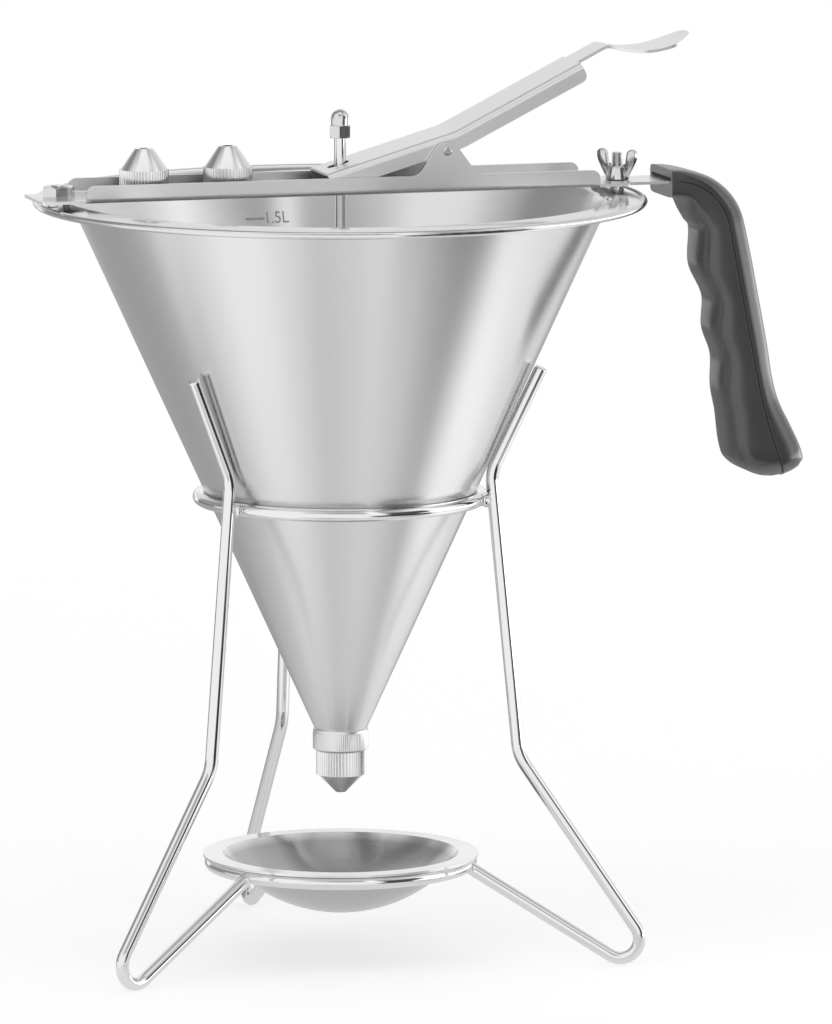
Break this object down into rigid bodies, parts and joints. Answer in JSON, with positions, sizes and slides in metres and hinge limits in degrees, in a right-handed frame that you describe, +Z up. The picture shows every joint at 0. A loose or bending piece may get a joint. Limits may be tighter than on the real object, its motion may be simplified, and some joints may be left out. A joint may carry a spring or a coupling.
{
  "type": "confectionery funnel",
  "caption": "Conical steel confectionery funnel with cross bar, thumb lever working a valve rod, spare nozzles, pistol handle, wire stand and drip bowl",
  "frame": {"origin": "on the floor, under the cone's axis, midway between the stand's feet", "axes": "+Z up along the cone's axis, +X along the cross bar toward the handle, +Y to the left of the handle seen from the cone"},
  "size_m": [0.2791, 0.2161, 0.3218],
  "materials": {
    "cone_steel": "satin, brushed around",
    "wire_steel": "polished drawn wire",
    "bowl_steel": "polished sheet",
    "bar_steel": "satin sheet",
    "lever_steel": "satin sheet",
    "nozzle_steel": "turned and knurled",
    "fastener_steel": "bright",
    "rod_steel": "ground bright",
    "spring_steel": "drawn wire",
    "handle_plastic": "fine satin"
  },
  "bodies": {
    "stand": {"leg_right": "wire_steel", "leg_back": "wire_steel", "leg_left": "wire_steel", "upper_ring": "wire_steel", "lower_ring": "wire_steel"},
    "bowl": {"drip_bowl": "bowl_steel"},
    "funnel": {"funnel_cone": "cone_steel", "outlet_fitting": "nozzle_steel", "cross_bar": "bar_steel", "hex_stud": "fastener_steel", "hex_nut": "fastener_steel", "wing_stud": "fastener_steel", "nozzle_posts": "bar_steel", "lever_pin": "fastener_steel", "return_spring": "spring_steel", "handle_spine": "handle_plastic", "handle_grip": "handle_plastic"},
    "lever": {"thumb_lever": "lever_steel"},
    "valve": {"valve_rod": "rod_steel", "acorn_nut": "fastener_steel", "valve_plug": "rod_steel"},
    "nozzle": {"fitted_nozzle": "nozzle_steel"},
    "spare_one": {"spare_nozzle_1": "nozzle_steel"},
    "spare_two": {"spare_nozzle_2": "nozzle_steel"},
    "wing": {"wing_nut": "fastener_steel"}
  },
  "joints": [
    {"name": "funnel_lift", "type": "slide", "parent": "stand", "child": "funnel", "axis": [0, 0, 1], "range_m": [0, 0.16]},
    {"name": "bowl_lift", "type": "slide", "parent": "stand", "child": "bowl", "axis": [0, 0, 1], "range_m": [0, 0.025]},
    {"name": "lever_press", "type": "hinge", "parent": "funnel", "child": "lever", "pos_m": [0.035, 0, 0.2835], "axis": [0, 1, 0], "range_deg": [0, 25], "stiffness_Nm_per_rad": 0.3, "springref_deg": -34.38, "deforming": ["return_spring"]},
    {"name": "valve_lift", "type": "slide", "parent": "funnel", "child": "valve", "axis": [0, 0, 1], "range_m": [0, 0.0076]},
    {"name": "nozzle_turn", "type": "hinge", "parent": "funnel", "child": "nozzle", "pos_m": [0, 0, 0.068], "axis": [0, 0, 1], "continuous": true},
    {"name": "spare_one_turn", "type": "hinge", "parent": "funnel", "child": "spare_one", "pos_m": [-0.0705, 0, 0.275], "axis": [0, 0, 1], "continuous": true},
    {"name": "spare_two_turn", "type": "hinge", "parent": "funnel", "child": "spare_two", "pos_m": [-0.0405, 0, 0.275], "axis": [0, 0, 1], "continuous": true},
    {"name": "wing_nut_turn", "type": "hinge", "parent": "funnel", "child": "wing", "pos_m": [0.1009, 0, 0.275], "axis": [0, 0, 1], "continuous": true}
  ],
  "couplings": [
    {"joint": "valve_lift", "follows": "lever_press", "m_per_rad": 0.01742}
  ]
}
